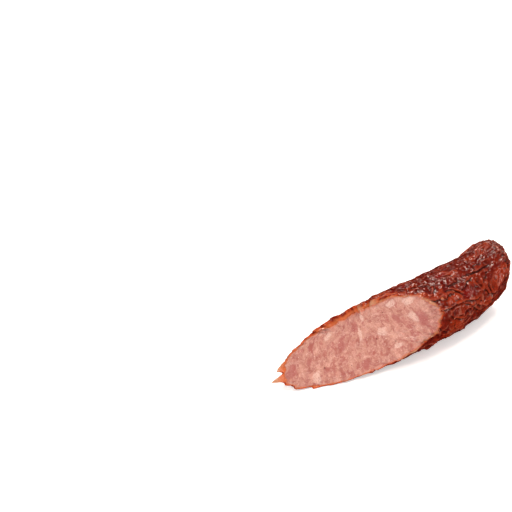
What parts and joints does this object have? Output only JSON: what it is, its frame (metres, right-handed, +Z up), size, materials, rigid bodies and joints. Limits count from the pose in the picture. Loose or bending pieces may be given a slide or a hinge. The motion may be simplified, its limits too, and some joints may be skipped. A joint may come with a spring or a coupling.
{
  "type": "cooked sausage",
  "caption": "Half of a dried, smoked sausage cut on a long slant: a wrinkled, glossy casing with a torn rim round coarse pink meat filling, lying on its side.",
  "frame": {"origin": "middle of the box round the sausage, on the surface it lies on", "axes": "+X along the sausage from the torn tip of the cut to the closed end, +Y away from the cut face, +Z up"},
  "size_m": [0.1514, 0.0374, 0.0328],
  "materials": {
    "casing": "glossy, oily, wrinkled smoked casing, mahogany red-brown, orange and slightly see-through at its torn rim",
    "meat": "moist, coarse-ground pink meat with pale fat, darker muscle and specks of pepper"
  },
  "bodies": {
    "root": {"casing": "casing", "filling": "meat"}
  },
  "joints": []
}
